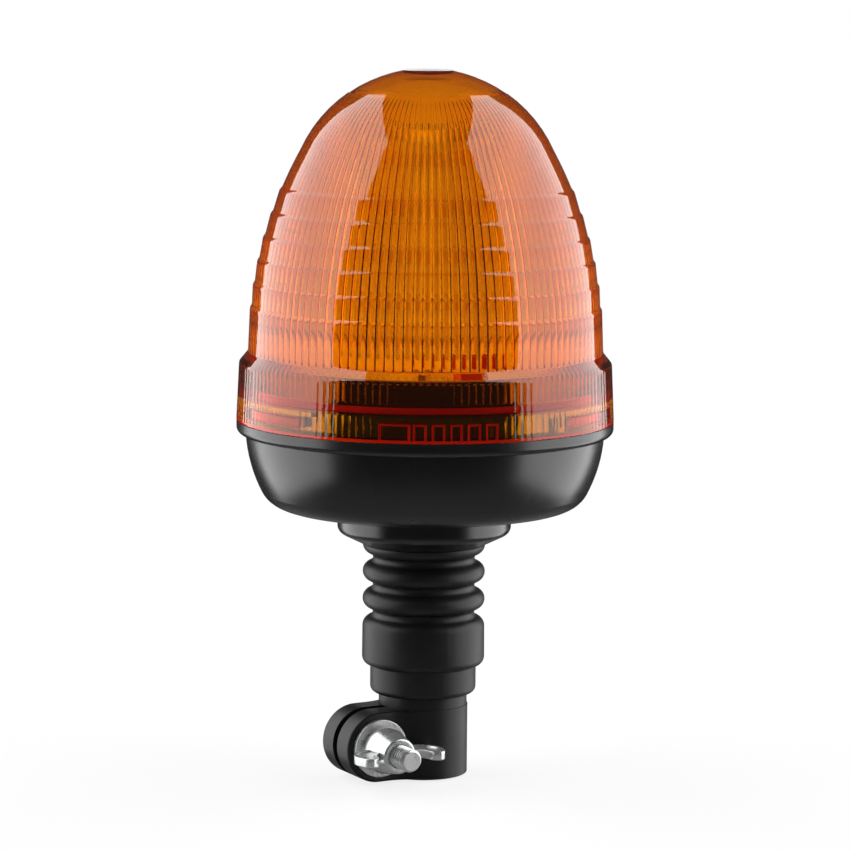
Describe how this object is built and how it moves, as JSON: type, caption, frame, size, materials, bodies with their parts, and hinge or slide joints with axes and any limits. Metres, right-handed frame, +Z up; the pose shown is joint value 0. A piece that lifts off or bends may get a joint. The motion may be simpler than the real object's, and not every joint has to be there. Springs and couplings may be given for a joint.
{
  "type": "warning beacon",
  "caption": "Amber warning beacon with a stepped dome lens that twists off a black base, on a flexible bellows stem whose split clamp grips a pole and closes with a wing nut.",
  "frame": {"origin": "centre of the pole socket's mouth, at the lower face of the split clamp", "axes": "+Z up the stem to the crown of the lens, -X the way the clamp's ears point, -Y the way the wing nut faces"},
  "size_m": [0.1298, 0.1298, 0.2435],
  "materials": {
    "amber_lens": "clear amber moulding",
    "seal_rubber": "matt",
    "black_housing": "satin moulding",
    "stem_rubber": "satin",
    "zinc_steel": "bright zinc plate",
    "contact_brass": "bright",
    "insulator": "plain moulding",
    "lead_red": "smooth",
    "lead_black": "smooth",
    "white_deck": "satin moulding",
    "heat_sink": "plain extrusion",
    "lamp_board": "white solder mask",
    "lamp_window": "clear over phosphor",
    "driver_board": "green solder mask",
    "board_parts": "moulded cases",
    "plug_red": "plain moulding"
  },
  "bodies": {
    "mount": {"pole_clamp": "black_housing", "clamp_bolt": "zinc_steel", "contact_carrier": "insulator", "contact_terminal": "contact_brass", "earth_contact": "contact_brass"},
    "washers": {"clamp_washer": "zinc_steel", "lock_washer": "zinc_steel"},
    "wing": {"wing_nut": "zinc_steel"},
    "plunger": {"contact_plunger": "contact_brass", "contact_spring": "zinc_steel"},
    "neck": {"rubber_stem": "stem_rubber", "lead_positive": "lead_red", "lead_earth": "lead_black"},
    "head": {"base_housing": "black_housing", "lens_seal": "seal_rubber", "stem_flange": "black_housing", "flange_screws": "zinc_steel", "reflector_deck": "white_deck", "deck_screws": "zinc_steel", "tower_core": "heat_sink", "led_board_1": "lamp_board", "led_board_2": "lamp_board", "led_board_3": "lamp_board", "led_board_4": "lamp_board", "led_board_5": "lamp_board", "led_board_6": "lamp_board", "leds_1": "lamp_window", "leds_2": "lamp_window", "leds_3": "lamp_window", "leds_4": "lamp_window", "leds_5": "lamp_window", "leds_6": "lamp_window", "tower_cap": "heat_sink", "cap_screws": "zinc_steel", "tower_screws": "zinc_steel", "tower_plug": "plug_red", "driver_board": "driver_board", "driver_screws": "zinc_steel", "driver_chip": "board_parts", "choke": "board_parts", "smoothing_capacitor": "board_parts"},
    "lens": {"lens": "amber_lens"}
  },
  "joints": [
    {"name": "stem_bend_fore", "type": "hinge", "parent": "mount", "child": "neck", "pos_m": [0, 0, 0.05875], "axis": [1, 0, 0], "range_deg": [-20, 20], "stiffness_Nm_per_rad": 8, "deforming": ["rubber_stem", "lead_positive", "lead_earth"]},
    {"name": "stem_bend_side", "type": "hinge", "parent": "neck", "child": "head", "pos_m": [0, 0, 0.0731], "axis": [0, 1, 0], "range_deg": [-20, 20], "stiffness_Nm_per_rad": 8},
    {"name": "lens_twist", "type": "hinge", "parent": "head", "child": "lens", "pos_m": [0, 0, 0.124], "axis": [0, 0, 1], "range_deg": [0, 37]},
    {"name": "nut_travel", "type": "slide", "parent": "mount", "child": "washers", "axis": [0, -1, 0], "range_m": [0, 0.00375]},
    {"name": "nut_turn", "type": "hinge", "parent": "washers", "child": "wing", "pos_m": [-0.0222, -0.0134, 0.01215], "axis": [0, -1, 0], "range_deg": [0, 1080]},
    {"name": "plunger_press", "type": "slide", "parent": "mount", "child": "plunger", "axis": [0, 0, 1], "range_m": [0, 0.0035], "stiffness_N_per_m": 600, "springref_m": -0.003, "deforming": ["contact_spring"]}
  ],
  "couplings": [
    {"joint": "nut_turn", "follows": "nut_travel", "rad_per_m": 5026.5}
  ]
}
